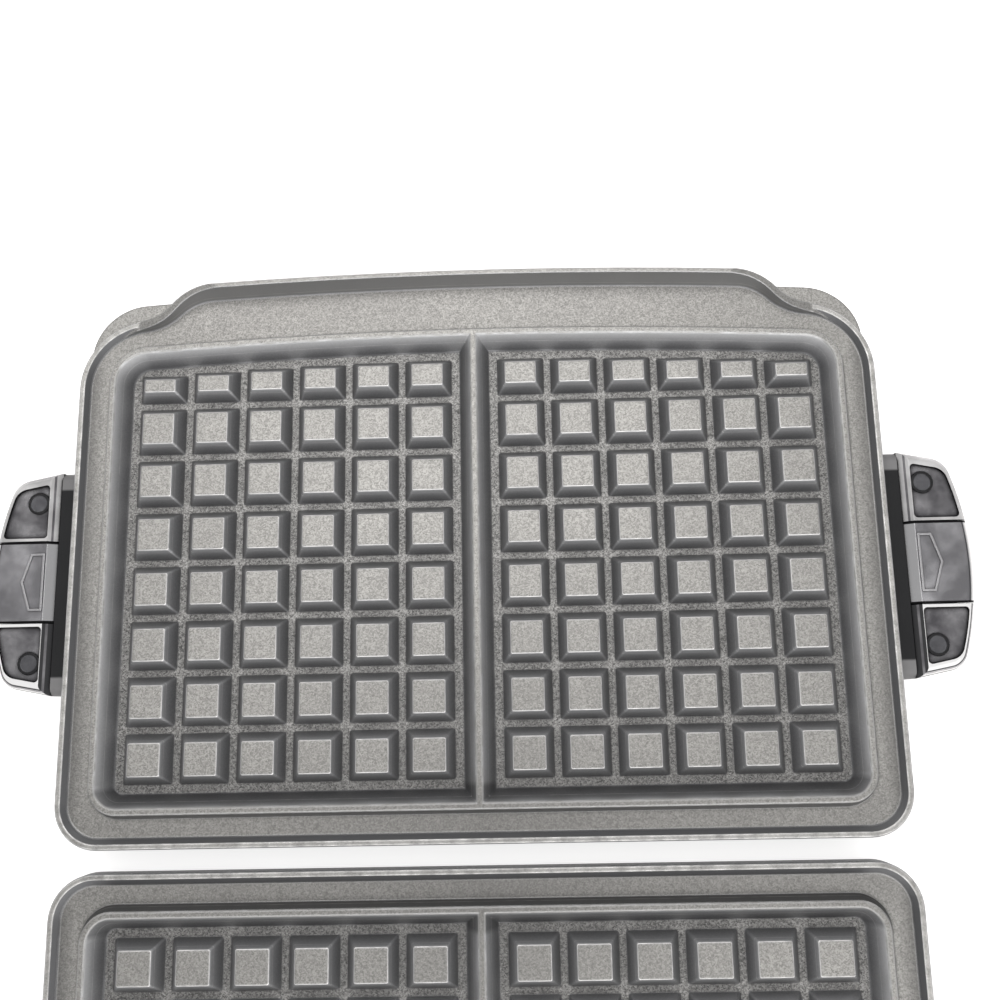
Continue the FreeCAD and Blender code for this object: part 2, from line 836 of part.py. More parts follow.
def release_arrow():
    """Raised outline of a plain arrow that points outwards."""
    points = [vec(arrow_back_x, -arrow_half), vec(arrow_shoulder_x, -arrow_half), vec(arrow_tip_x, 0),
              vec(arrow_shoulder_x, arrow_half), vec(arrow_back_x, arrow_half)]
    inner = Part.Face(Part.makePolygon(points + points[:1]))
    outer = inner.makeOffset2D(arrow_line, sharp_corners)
    ring = outer.cut(inner).extrude(vec(0, 0, arrow_rise + fuse_overlap))
    ring.translate(vec(0, 0, handle_top - fuse_overlap))
    return ring


def release_tab():
    """Middle of the handle: a shell with a rib for the springs and a leg down to the bolt."""
    height = handle_top - handle_bottom
    body = prism(tab_outline(0, 0, tab_half, handle_bottom), height)
    body = body.makeFillet(handle_edge_radius, outer_top_edges(body))
    room_top = handle_top - grip_roof
    floor = base_top + tab_lift
    inside_half = tab_half - grip_wall
    base_room = prism(tab_outline(grip_wall, -cut_margin, tab_half + cut_margin, handle_bottom),
                      floor - handle_bottom)
    room = prism(tab_outline(grip_wall, grip_wall, inside_half, floor), room_top - floor)
    rib = box(rib_x, rib_x + rib_thickness, -inside_half, inside_half, floor, room_top)
    leg = box(rib_x, rib_x + rib_thickness, -leg_half_width, leg_half_width, bolt_top, floor)
    peg = rod(peg_radius, bolt_thickness, vec(rib_x + rib_thickness / 2, 0, bolt_z))
    trimmed = peg.common(box(rib_x, rib_x + rib_thickness, -leg_half_width, leg_half_width, bolt_z, bolt_top))
    shell = body.cut([base_room, room, inner_chamfer()])
    return shell.fuse([rib, leg, trimmed, release_arrow()]).removeSplitter()


def latch_bolt():
    """Flat bolt whose nose reaches under the plate; it rides with the release tab."""
    nose_x = -bracket_depth - bolt_reach
    tail_x = rib_x + rib_thickness + bolt_tail
    bar = box(nose_x, tail_x, -bolt_half_width, bolt_half_width, bolt_z, bolt_top)
    side_y = -bolt_half_width
    ramp_points = [vec(nose_x, side_y, bolt_z), vec(nose_x + bolt_ramp_run, side_y, bolt_z),
                   vec(nose_x, side_y, bolt_z + bolt_ramp_rise)]
    ramp = polygon_prism(ramp_points, vec(0, 2 * bolt_half_width, 0))
    hole = rod(peg_radius + peg_fit, bolt_thickness, vec(rib_x + rib_thickness / 2, 0, bolt_z))
    return bar.cut([ramp, hole])


def handle_bracket():
    """Black foot of the handle: a wall against the plate, a base under the grip and a spring post."""
    top = rim_under_z - bracket_rim_gap
    wall = box(-bracket_depth, 0, -handle_half, handle_half, handle_bottom, top)
    ends = [edge for edge in wall.Edges if edge.BoundBox.XLength > pick_tolerance
            and edge.BoundBox.ZMin > top - pick_tolerance]
    wall = wall.makeFillet(bracket_end_radius, ends)
    base_inset = grip_wall + grip_fit
    half_base = prism(grip_outline(base_inset, base_inset, 0, 0, handle_bottom), base_thickness)
    other_half = half_base.mirror(vec(0, 0, 0), vec(0, 1, 0))
    post = box(post_x, post_x + post_thickness, -post_half, post_half, base_top, base_top + post_height)
    track_end = rib_x + rib_thickness + bolt_tail + tab_travel + bolt_spare_travel
    track = box(-bracket_depth, track_end, -bolt_half_width - bolt_fit, bolt_half_width + bolt_fit,
                bolt_z - bolt_fit, bolt_top + bolt_fit)
    slot_half = leg_half_width + tab_lift
    leg_slot = box(rib_x - tab_lift, rib_x + rib_thickness + tab_travel + tab_lift, -slot_half, slot_half,
                   bolt_top, base_top)
    pilots = []
    for side in (-1, 1):
        under_plug = vec(plug_x, side * plug_y, handle_bottom + blind_end)
        pilots.append(rod(pilot_radius, base_thickness - blind_end, under_plug))
        in_wall = vec(-bracket_depth, side * bracket_screw_y, bracket_screw_z)
        pilots.append(rod(pilot_radius, bracket_depth - blind_end, in_wall, vec(1, 0, 0)))
    solid = wall.fuse([half_base, other_half, post])
    return solid.cut([track, leg_slot] + pilots).removeSplitter()


def return_springs():
    """Two coils between the tab's rib and the bracket's post."""
    start = rib_x + rib_thickness + spring_gap + spring_wire
    free = post_x - spring_gap - spring_wire - start
    coils = []
    for side in (-1, 1):
        helix = Part.makeHelix(free / spring_turns, free, spring_radius)
        section = Part.Wire(Part.Circle(vec(spring_radius, 0, 0), vec(0, 1, 0), spring_wire).toShape())
        coil = Part.Wire(helix.Edges).makePipeShell([section], True, True)
        coil.Placement = FreeCAD.Placement(vec(start, side * spring_y, spring_z),
                                           FreeCAD.Rotation(vec(0, 0, 1), vec(1, 0, 0)))
        coils.append(coil)
    return group(coils)


def screw_plugs():
    bottom = seat_z + screw_head_height + plug_fit
    top = handle_top - panel_depth + plug_proud
    plugs = []
    for side in (-1, 1):
        disc = rod(plug_radius, top - bottom, vec(plug_x, side * plug_y, bottom))
        dimple = rod(plug_radius - plug_ring, plug_dimple, vec(plug_x, side * plug_y, top - plug_dimple))
        plugs.append(disc.cut(dimple))
    return group(plugs)


def handle_screws():
    """Two screws from inside the skirt into the bracket, and two under the plugs."""
    wall_length = skirt_wall + bracket_depth - blind_end - screw_tip_gap
    plug_length = screw_seat + base_thickness - blind_end - screw_tip_gap
    screws = []
    for side in (-1, 1):
        inside = vec(-bracket_depth - skirt_wall, side * bracket_screw_y, bracket_screw_z)
        screws.append(screw(inside, vec(1, 0, 0), wall_length))
        under_plug = vec(plug_x, side * plug_y, seat_z)
        screws.append(screw(under_plug, vec(0, 0, -1), plug_length))
    return group(screws)


def handle_pieces():
    """Handle on the plate's right-hand side, by the name of each piece."""
    front = front_grip_end()
    pieces = {
        "handle_bracket": handle_bracket(),
        "front_grip_end": front,
        "rear_grip_end": front.mirror(vec(0, 0, 0), vec(0, 1, 0)),
        "release_tab": release_tab(),
        "latch_bolt": latch_bolt(),
        "return_springs": return_springs(),
        "screw_plugs": screw_plugs(),
        "handle_screws": handle_screws(),
    }
    for piece in pieces.values():
        piece.translate(vec(grip_x, handle_y))
    return pieces


def plate_pieces(with_lip):
    return {
        "waffle_plate": waffle_plate(with_lip),
        "heating_element": heating_element(),
        "element_straps": element_straps(),
        "strap_screws": strap_screws(),
        "terminal_block": terminal_block(),
        "contact_blades": contact_blades(),
        "thermal_cutout": thermal_cutout(),
        "cutout_screws": cutout_screws(),
        "base_cover": base_cover(with_lip),
        "cover_screws": cover_screws(with_lip),
    }


def turned_to_upper(shape):
    """The upper plate lies behind the lower one, half a turn about the line between them."""
    copy = shape.copy()
    copy.rotate(vec(0, hinge_y), vec(0, 0, 1), 180)
    return copy


def write(name, shape):
    solids = shape.Solids
    assert solids and all(solid.isValid() for solid in solids), name
    shape = solids[0] if len(solids) == 1 else Part.makeCompound(solids)
    shape.exportStep("parts/" + name + ".step")


def main():
    os.makedirs("parts", exist_ok=True)
    handle = handle_pieces()
    for name, piece in plate_pieces(True).items():
        write("lower_" + name, piece)
    for name, piece in plate_pieces(False).items():
        write("upper_" + name, turned_to_upper(piece))
    for name, piece in handle.items():
        other = mirrored_x(piece)
        write("lower_right_" + name, piece)
        write("lower_left_" + name, other)
        write("upper_left_" + name, turned_to_upper(piece))
        write("upper_right_" + name, turned_to_upper(other))


main()
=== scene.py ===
"""Looks of the waffle plate set: materials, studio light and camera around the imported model."""
import json
import math
import bpy
from mathutils import Matrix, Vector

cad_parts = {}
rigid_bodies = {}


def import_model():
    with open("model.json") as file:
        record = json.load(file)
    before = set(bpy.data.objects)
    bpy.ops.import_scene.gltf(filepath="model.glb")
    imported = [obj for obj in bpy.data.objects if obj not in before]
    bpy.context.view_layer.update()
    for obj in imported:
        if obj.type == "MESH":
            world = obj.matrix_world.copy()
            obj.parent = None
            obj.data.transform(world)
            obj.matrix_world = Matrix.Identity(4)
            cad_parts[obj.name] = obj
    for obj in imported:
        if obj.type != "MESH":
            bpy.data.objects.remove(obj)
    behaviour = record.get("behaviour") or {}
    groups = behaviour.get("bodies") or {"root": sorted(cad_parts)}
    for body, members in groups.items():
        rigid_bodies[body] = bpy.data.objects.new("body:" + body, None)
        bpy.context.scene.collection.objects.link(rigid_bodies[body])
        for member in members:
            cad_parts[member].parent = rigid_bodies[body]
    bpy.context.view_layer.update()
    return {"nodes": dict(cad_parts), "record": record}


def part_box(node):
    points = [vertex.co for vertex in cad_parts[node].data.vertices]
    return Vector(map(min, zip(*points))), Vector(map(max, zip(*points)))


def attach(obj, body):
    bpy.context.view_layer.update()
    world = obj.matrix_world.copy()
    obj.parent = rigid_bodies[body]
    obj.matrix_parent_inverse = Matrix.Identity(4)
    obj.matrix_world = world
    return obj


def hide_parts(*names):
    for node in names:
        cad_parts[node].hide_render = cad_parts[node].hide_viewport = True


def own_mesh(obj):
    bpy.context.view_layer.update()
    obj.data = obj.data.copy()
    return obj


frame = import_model()

# Heights above the resting face, in metres
FLOOR_Z = 0.0212
CHANNEL_Z = 0.0240
RIM_Z = 0.0260
WORN_ABOVE = 0.0270
BEAD_Z = 0.0300
PANEL_Z = 0.0195
PANEL_BAND = 0.0003
PLUG_RIM_Z = 0.0199
TAB_Z = 0.0205

# Where painted shade and darker bands on the coat begin and end, in metres from the middle or from the back
# edges
HINGE_Y = frame["record"]["behaviour"]["joints"][0]["pos_m"][1]
# Painted shade in the channel along the sides
SIDE_SHADE_REACH = (0.1525, 0.1600)
# Darker bands at the back, the front and the middle
BACK_DARKENING = (0.034, 0.012)
BACK_WALL = (0.0190, 0.0275)
FRONT_DARKENING = (0.195, 0.205)
MIDDLE_DARKENING_ACROSS = (0.125, 0.0)
MIDDLE_DARKENING_DEPTH = (0.135, 0.034)

# Vertical part of a surface's normal: 1 on level faces, 0 on upright walls
LEVEL = (0.84, 0.985)
BEAD_SIDE = (0.26, 0.40)
LIP_SIDE = (0.14, 0.27)
RIM_SLOPE = (0.70, 0.92)
OUTSIDE = (0.10, 0.04)
ROUND_EDGE = (0.58, 0.93)

# Colours of the coat; a pair runs from the dark to the light specks, except the wall pair, which runs from
# painted shade to painted light. Several colours here are painted shade or painted highlights.
COAT = ((0.230, 0.224, 0.212), (0.500, 0.486, 0.460))
DULL_COAT = (0.260, 0.252, 0.242)
# Painted shade: a darker coat with coarser specks on the floor between the teeth
POCKET_SHADE_COAT = ((0.085, 0.083, 0.080), (0.545, 0.532, 0.512))
# Painted shade where the walls close in round the floor between the teeth
PAINTED_SHADE_COAT = ((0.020, 0.020, 0.020), (0.135, 0.133, 0.130))
# Painted shade along the channel at the sides; a darker tone at the back, the front and the middle
SHADE_AND_DARKENING_COAT = (0.09, 0.088, 0.086)
# Painted contact shadow at the foot of steep walls in the channel
CREASE_SHADOW_COAT = (0.05, 0.05, 0.05)
# Painted highlight along the concave feet of the channel
FOOT_HIGHLIGHT_COAT = (0.66, 0.645, 0.62)
# Painted shade and light: a wall runs from a shaded tone at its foot to a lit tone at its top
WALL_SHADE_TO_LIGHT = ((0.27, 0.27, 0.275), (0.72, 0.72, 0.725))
# Painted shade on the back walls of the pockets, which face away from the light
BACK_WALL_SHADE = (0.10, 0.10, 0.103)
# Painted shade on the bead's outer side and on the rim's inner slope
SLOPE_SHADE = (0.15, 0.15, 0.153)
# Painted shade: a mid tone for the lip's inner side
LIP_SIDE_SHADE = (0.40, 0.40, 0.404)
OUTSIDE_COAT = ((0.075, 0.075, 0.077), (0.13, 0.13, 0.132))
# Worn metal and painted highlight on proud edges: brightest below the bead top, duller on it
BARE_METAL_AND_HIGHLIGHT = (0.92, 0.905, 0.88)
RUBBED_METAL_AND_HIGHLIGHT = (0.44, 0.433, 0.42)

# Black line in the joints between the pieces of a handle; the same colour lays painted shade in close
# corners, such as round the sunk panel
JOINT_LINE_AND_CORNER_SHADE = (0.006, 0.006, 0.007)

# Studio
FLOOR_DROP = 0.0004
FLOOR_RADIUS = 6.0
SWEEP_RADIUS = 1.6
WALL_TOP = 2.6
FLOOR_COLOUR = (0.80, 0.785, 0.765, 1.0)
FLOOR_GLOW = 0.74
WORLD_COLOUR = (0.38, 0.38, 0.385, 1.0)


class Graph:
    """Shader nodes of one material, with short calls for the ones used here."""

    def __init__(self, name):
        self.material = bpy.data.materials.new(name)
        self.material.use_nodes = True
        self.nodes = self.material.node_tree.nodes
        self.links = self.material.node_tree.links
        self.shader = self.nodes["Principled BSDF"]
        coordinates = self.nodes.new("ShaderNodeTexCoord")
        self.place = coordinates.outputs["Object"]
        self.normal = coordinates.outputs["Normal"]
        self.share = coordinates.outputs["Generated"]

    def feed(self, socket, value):
        """Links an output to a socket, or writes a plain value into it."""
        if isinstance(value, bpy.types.NodeSocket):
            self.links.new(value, socket)
        else:
            socket.default_value = value

    def set(self, **values):
        """Sets inputs of the shader, with _ for the spaces in their names."""
        for name, value in values.items():
            self.feed(self.shader.inputs[name.replace("_", " ")], value)

    def axis(self, vector, name):
        split = self.nodes.new("ShaderNodeSeparateXYZ")
        self.links.new(vector, split.inputs[0])
        return split.outputs[name]

    def math(self, operation, first, second=0.0):
        """Result of one operation, kept between 0 and 1."""
        node = self.nodes.new("ShaderNodeMath")
        node.operation = operation
        node.use_clamp = True
        self.feed(node.inputs[0], first)
        self.feed(node.inputs[1], second)
        return node.outputs[0]

    def product(self, first, second):
        return self.math("MULTIPLY", first, second)

    def total(self, first, second):
        return self.math("ADD", first, second)

    def larger(self, first, second):
        return self.math("MAXIMUM", first, second)

    def offset(self, value, distance):
        """Sum that may leave the range from 0 to 1."""
        node = self.nodes.new("ShaderNodeMath")
        self.feed(node.inputs[0], value)
        self.feed(node.inputs[1], distance)
        return node.outputs[0]

    def from_back(self):
        """Distance from the line along which the plates lie back to back."""
        return self.math("ABSOLUTE", self.offset(self.axis(self.place, "Y"), -HINGE_Y))

    def remap(self, value, low, high, to_low=0.0, to_high=1.0):
        """Value taken from one range to another, and held at the second one's ends."""
        node = self.nodes.new("ShaderNodeMapRange")
        self.links.new(value, node.inputs["Value"])
        for name, number in (("From Min", low), ("From Max", high), ("To Min", to_low), ("To Max", to_high)):
            node.inputs[name].default_value = number
        return node.outputs[0]

    def band(self, value, low, high, soft):
        """1 between two values, with soft ends."""
        rising = self.remap(value, low, low + soft)
        return self.product(rising, self.remap(value, high, high - soft))

    def stretched(self, scale):
        node = self.nodes.new("ShaderNodeMapping")
        self.links.new(self.place, node.inputs["Vector"])
        node.inputs["Scale"].default_value = scale
        return node.outputs[0]

    def noise(self, scale, detail=2.0, vector=None):
        node = self.nodes.new("ShaderNodeTexNoise")
        self.links.new(vector or self.place, node.inputs["Vector"])
        node.inputs["Scale"].default_value = scale
        node.inputs["Detail"].default_value = detail
        return node.outputs["Fac"]

    def cells(self, scale):
        """Small cells, each of one random value."""
        node = self.nodes.new("ShaderNodeTexVoronoi")
        self.links.new(self.place, node.inputs["Vector"])
        node.inputs["Scale"].default_value = scale
        return self.axis(node.outputs["Color"], "X")

    def mix(self, factor, first, second):
        node = self.nodes.new("ShaderNodeMix")
        node.data_type = "RGBA"
        self.feed(node.inputs["Factor"], factor)
        colours = [socket for socket in node.inputs if socket.type == "RGBA"]
        for socket, value in zip(colours, (first, second)):
            self.feed(socket, value if isinstance(value, bpy.types.NodeSocket) else (*value, 1.0))
        return next(socket for socket in node.outputs if socket.type == "RGBA")

    def rounded(self, radius):
        """Normal that runs smoothly over edges and into corners."""
        node = self.nodes.new("ShaderNodeBevel")
        node.samples = 4
        self.feed(node.inputs["Radius"], radius)
        return node.outputs[0]

    def turned(self, smooth):
        """How far the smooth normal leans from the surface's own: 1 on an edge, 0 away from it."""
        surface = self.nodes.new("ShaderNodeNewGeometry")
        node = self.nodes.new("ShaderNodeVectorMath")
        node.operation = "DOT_PRODUCT"
        self.links.new(smooth, node.inputs[0])
        self.links.new(surface.outputs["Normal"], node.inputs[1])
        return self.remap(node.outputs["Value"], 0.995, 0.95)

    def own_axes(self, normal):
        """A world normal given in the piece's own axes, which turn with it."""
        node = self.nodes.new("ShaderNodeVectorTransform")
        node.vector_type = "NORMAL"
        node.convert_from = "WORLD"
        node.convert_to = "OBJECT"
        self.links.new(normal, node.inputs[0])
        return node.outputs[0]

    def openness(self, distance, same_piece=True):
        """1 in the open, falling towards 0 deep between neighbouring walls."""
        node = self.nodes.new("ShaderNodeAmbientOcclusion")
        node.samples = 6
        node.only_local = same_piece
        node.inputs["Distance"].default_value = distance
        return node.outputs["AO"]

    def bump(self, height, strength, distance, normal=None):
        node = self.nodes.new("ShaderNodeBump")
        node.inputs["Strength"].default_value = strength
        node.inputs["Distance"].default_value = distance
        self.links.new(height, node.inputs["Height"])
        if normal:
            self.links.new(normal, node.inputs["Normal"])
        self.links.new(node.outputs[0], self.shader.inputs["Normal"])


def level_coat(g, height, smooth, speckle, from_back):
    """Coat on level faces: painted shade, dark and coarse, between the teeth; painted shade along the
    channel at the sides and a darker tone at the back, the front and the middle; a painted contact shadow
    and a painted highlight at the channel's feet.
    """
    patches = g.remap(g.noise(24, 4), 0.35, 0.70, 0.0, 0.20)
    coat = g.mix(patches, g.mix(speckle, *COAT), DULL_COAT)
    pocket = g.band(height, FLOOR_Z - 0.0006, CHANNEL_Z - 0.0004, 0.0004)
    # Painted shade on the floor between the teeth, darkest where the walls close in
    coat = g.mix(pocket, coat, g.mix(speckle, *POCKET_SHADE_COAT))
    deep_shade = g.product(pocket, g.remap(g.openness(0.012), 1.0, 0.25))
    coat = g.mix(deep_shade, coat, g.mix(speckle, *PAINTED_SHADE_COAT))

    across = g.math("ABSOLUTE", g.axis(g.place, "X"))
    channel = g.band(height, CHANNEL_Z - 0.0002, CHANNEL_Z + 0.0006, 0.0001)
    # Painted shade: the channel darkens towards the rim along the sides. The back, the front and the middle
    # are made darker too.
    side_shade = g.product(channel, g.remap(across, *SIDE_SHADE_REACH, 0.0, 0.72))
    at_back = g.remap(from_back, *BACK_DARKENING, 0.0, 0.22)
    at_front = g.product(channel, g.remap(from_back, *FRONT_DARKENING, 0.0, 0.12))
    in_middle = g.product(g.remap(across, *MIDDLE_DARKENING_ACROSS), g.remap(from_back, *MIDDLE_DARKENING_DEPTH))
    shade_and_darkening = g.larger(g.larger(side_shade, at_back), at_front)
    shade_and_darkening = g.total(shade_and_darkening, g.product(in_middle, 0.28))
    coat = g.mix(shade_and_darkening, coat, SHADE_AND_DARKENING_COAT)

    # Painted contact shadow at the foot of steep walls in the channel
    crease_shadow = g.product(channel, g.remap(g.openness(0.0018), 0.88, 0.55, 0.0, 0.75))
    coat = g.mix(crease_shadow, coat, CREASE_SHADOW_COAT)
    # Painted highlight along the concave feet of the channel
    foot_highlight = g.product(channel, g.turned(smooth))
    return g.mix(g.product(foot_highlight, 0.6), coat, FOOT_HIGHLIGHT_COAT)


def wall_coat(g, height, upright, speckle, from_back):
    """Coat on walls, painted lit and shaded: painted shade at their foot and painted light at their top,
    painted shade on the back walls and on the slopes beside the channel, a painted mid tone on the lip side,
    and darkest outside.
    """
    # Painted shade and light: a wall runs from a shaded tone at its foot to a lit tone at its top
    rise = g.math("POWER", g.remap(height, FLOOR_Z, BEAD_Z), 1.9)
    rise = g.total(rise, g.remap(speckle, 0.0, 1.0, 0.0, 0.10))
    wall = g.mix(rise, *WALL_SHADE_TO_LIGHT)
    # Painted shade on the back walls of the pockets
    at_back = g.band(from_back, *BACK_WALL, 0.002)
    wall = g.mix(g.product(at_back, 0.55), wall, BACK_WALL_SHADE)
    above = g.remap(height, CHANNEL_Z, CHANNEL_Z + 0.0004)
    # Painted shade on the bead's outer side
    bead_side = g.product(g.band(upright, *BEAD_SIDE, 0.03), above)
    wall = g.mix(bead_side, wall, SLOPE_SHADE)
    # Painted shade: a mid tone for the lip's inner side
    lip_side = g.product(g.band(upright, *LIP_SIDE, 0.02), above)
    wall = g.mix(lip_side, wall, LIP_SIDE_SHADE)
    # Painted shade on the rim's inner slope
    below_rim = g.remap(height, RIM_Z, RIM_Z - 0.0002)
    rim_slope = g.product(g.band(upright, *RIM_SLOPE, 0.05), below_rim)
    wall = g.mix(rim_slope, wall, SLOPE_SHADE)
    return g.mix(g.remap(upright, *OUTSIDE), wall, g.mix(speckle, *OUTSIDE_COAT))


def worn_and_highlit_edges(g, height, smooth):
    """1 where the edges of the teeth, the bead, the divider, the lip and the rim get a worn coat and a
    painted highlight.
    """
    proud = g.remap(height, WORN_ABOVE, WORN_ABOVE + 0.0002)
    edge = g.product(g.band(g.axis(g.normal, "Z"), *ROUND_EDGE, 0.05), proud)
    rim = g.band(height, RIM_Z - 0.0002, RIM_Z + 0.0002, 0.0001)
    rim_edge = g.product(rim, g.remap(g.turned(smooth), 0.0, 1.0, 0.25, 1.0))
    edge = g.larger(edge, rim_edge)
    return g.product(edge, g.remap(g.noise(240, 3), 0.34, 0.62, 0.25, 1.0))


def nonstick():
    """Dark coat with a metallic grain, darker between the teeth by painted shade, its walls painted lit and
    shaded, and its proud edges worn and given a painted highlight.
    """
    g = Graph("nonstick_casting")
    height = g.axis(g.place, "Z")
    smooth = g.rounded(0.0008)
    upright = g.axis(g.own_axes(smooth), "Z")
    from_back = g.from_back()
    grain = g.cells(2200)
    cloud = g.remap(g.noise(900, 3), 0.3, 0.7)
    speckle = g.total(g.product(grain, 0.72), g.product(cloud, 0.28))
    coat = level_coat(g, height, smooth, speckle, from_back)
    wall = wall_coat(g, height, upright, speckle, from_back)
    # Level faces and walls take lit and shaded copies of one coat
    colour = g.mix(g.remap(upright, *LEVEL), wall, coat)
    # Worn edges take bare metal together with a painted highlight
    bare_and_highlit = g.mix(g.remap(height, BEAD_Z - 0.0012, BEAD_Z - 0.0008), BARE_METAL_AND_HIGHLIGHT, RUBBED_METAL_AND_HIGHLIGHT)
    colour = g.mix(worn_and_highlit_edges(g, height, smooth), colour, bare_and_highlit)
    g.set(Base_Color=colour, Metallic=0.93, Roughness=g.remap(speckle, 0.0, 1.0, 0.50, 0.40))
    g.bump(grain, 0.30, 0.00006, smooth)
    return g.material


def grip():
    """Smoked grip whose glossy border carries a painted reflection, palest at the rear with a painted dark
    line on its bevel there, round a sunk panel with dark corners of painted shade.
    """
    # Painted reflections on the border, pale at the rear and greyer at the front
    rear_reflection = ((0.88, 0.87, 0.865), (0.96, 0.95, 0.94))
    front_reflection = ((0.46, 0.452, 0.45), (0.70, 0.69, 0.685))
    smoke = ((0.19, 0.184, 0.196), (0.50, 0.488, 0.50))
    # Painted dark line on the bevel of the rear border
    dark_bevel = (0.045, 0.045, 0.047)
    dark_side = (0.085, 0.083, 0.087)
    g = Graph("grip_plastic")
    upright = g.axis(g.normal, "Z")
    panel = g.band(g.axis(g.place, "Z"), PANEL_Z - PANEL_BAND, PANEL_Z + PANEL_BAND, 0.0001)
    cloud = g.noise(90, 3)
    clouded = g.remap(cloud, 0.35, 0.65)
    low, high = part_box("lower_right_release_tab")
    middle = (low[1] + high[1]) / 2 - HINGE_Y
    # Painted reflection on the border, broken by a painted dark line on its bevel, greyer towards the front
    rear = g.mix(g.band(upright, 0.78, 0.90, 0.02), g.mix(cloud, *rear_reflection), dark_bevel)
    front = g.mix(clouded, *front_reflection)
    border = g.mix(g.remap(g.from_back(), middle - 0.002, middle + 0.002), rear, front)
    border = g.mix(g.remap(upright, 0.55, 0.35), border, dark_side)
    colour = g.mix(panel, border, g.mix(clouded, *smoke))
    # Dark joints, and painted shade in close corners such as round the sunk panel
    colour = g.mix(g.remap(g.openness(0.0022, False), 0.70, 0.96), JOINT_LINE_AND_CORNER_SHADE, colour)
    g.set(Base_Color=colour, Metallic=g.remap(panel, 0.0, 1.0, 0.15, 0.90))
    g.set(Roughness=g.remap(cloud, 0.3, 0.7, 0.08, 0.16))
    g.bump(g.noise(300, 2), 0.08, 0.00005, g.rounded(0.0005))
    return g.material


def tab():
    """Smoked plated tab: painted reflection on its bevel and outer slope, a paler raised arrow, a painted
    dark line where the top rounds into the bevel, painted shade at its ends, and dark joints.
    """
    smoke = ((0.30, 0.294, 0.306), (0.52, 0.51, 0.525))
    pale_arrow = (0.62, 0.61, 0.62)
    # Painted reflection on the bevel and outer slope
    bevel_reflection = (0.66, 0.655, 0.66)
    dark_side = (0.12, 0.118, 0.123)
    # Painted dark line where the top rounds into the bevel
    rounding_shade = (0.03, 0.03, 0.032)
    # Painted shade across the tab's ends
    end_shade = (0.010, 0.010, 0.011)
    g = Graph("tab_plastic")
    upright = g.axis(g.normal, "Z")
    cloud = g.noise(75, 3)
    raised = g.remap(g.axis(g.place, "Z"), TAB_Z + 0.0001, TAB_Z + 0.0002)
    top = g.mix(raised, g.mix(g.remap(cloud, 0.40, 0.66), *smoke), pale_arrow)
    # Painted reflection on the bevel and outer slope
    colour = g.mix(g.remap(upright, 0.93, 0.90), top, bevel_reflection)
    colour = g.mix(g.remap(upright, 0.45, 0.25), colour, dark_side)
    # Painted dark line where the top rounds into the bevel
    colour = g.mix(g.band(upright, 0.955, 0.985, 0.008), colour, rounding_shade)
    # Painted shade across the tab's ends, beside the slots
    colour = g.mix(g.band(g.axis(g.share, "Y"), 0.022, 0.978, 0.006), end_shade, colour)
    # Dark joints and slots, and painted shade in close corners
    colour = g.mix(g.remap(g.openness(0.0018, False), 0.55, 0.90), JOINT_LINE_AND_CORNER_SHADE, colour)
    g.set(Base_Color=colour, Metallic=0.80, Roughness=g.remap(cloud, 0.3, 0.7, 0.12, 0.20))
    g.bump(g.noise(300, 2), 0.06, 0.00005, g.rounded(0.0003))
    return g.material


def bracket():
    """Matt black moulding with pale grey ends."""
    g = Graph("bracket_plastic")
    grain = g.noise(1600, 3)
    middle = g.band(g.axis(g.share, "Y"), 0.075, 0.925, 0.01)
    black = g.mix(g.noise(60, 3), (0.006, 0.006, 0.007), (0.014, 0.014, 0.015))
    pale = g.mix(g.noise(90, 3), (0.16, 0.157, 0.157), (0.26, 0.255, 0.255))
    g.set(Base_Color=g.mix(middle, pale, black), Specular_IOR_Level=0.30)
    g.set(Roughness=g.remap(grain, 0.3, 0.7, 0.46, 0.58))
    g.bump(grain, 0.25, 0.00006)
    return g.material


def plug():
    """Smoked screw plug with a black rim."""
    g = Graph("plug_plastic")
    rim = g.remap(g.axis(g.place, "Z"), PLUG_RIM_Z - 0.0003, PLUG_RIM_Z - 0.0002)
    cloud = g.noise(200, 3)
    disc = g.mix(cloud, (0.11, 0.11, 0.117), (0.20, 0.20, 0.211))
    black_rim = (0.010, 0.010, 0.011)
    g.set(Base_Color=g.mix(rim, disc, black_rim), Metallic=g.remap(rim, 0.0, 1.0, 0.8, 0.0))
    g.set(Roughness=g.remap(cloud, 0.3, 0.7, 0.14, 0.24))
    g.bump(g.noise(900, 2), 0.10, 0.00005, g.rounded(0.0003))
    return g.material


def moulded(name, dark, light, roughness):
    """Moulded plastic with a fine spark-eroded grain."""
    g = Graph(name)
    grain = g.noise(1600, 3)
    g.set(Base_Color=g.mix(g.noise(60, 3), dark, light))
    g.set(Roughness=g.remap(grain, 0.3, 0.7, roughness - 0.08, roughness + 0.08))
    g.bump(grain, 0.25, 0.00006)
    return g.material


def metal(name, dark, light, roughness, grain_scale):
    """Bare or plated metal with fine drawn lines and dull patches."""
    g = Graph(name)
    lines = g.noise(300, 3, g.stretched(grain_scale))
    patches = g.noise(45, 4)
    g.set(Base_Color=g.mix(patches, dark, light), Metallic=1.0)
    g.set(Roughness=g.remap(lines, 0.3, 0.7, roughness - 0.08, roughness + 0.10))
    g.bump(lines, 0.12, 0.00005)
    return g.material


def enamel():
    """Black stove enamel with slight orange peel."""
    g = Graph("cover_sheet")
    peel = g.noise(700, 2)
    g.set(Base_Color=g.mix(g.noise(35, 4), (0.030, 0.030, 0.031), (0.065, 0.064, 0.062)))
    g.set(Roughness=g.remap(peel, 0.3, 0.7, 0.38, 0.52))
    g.bump(peel, 0.2, 0.0001)
    return g.material


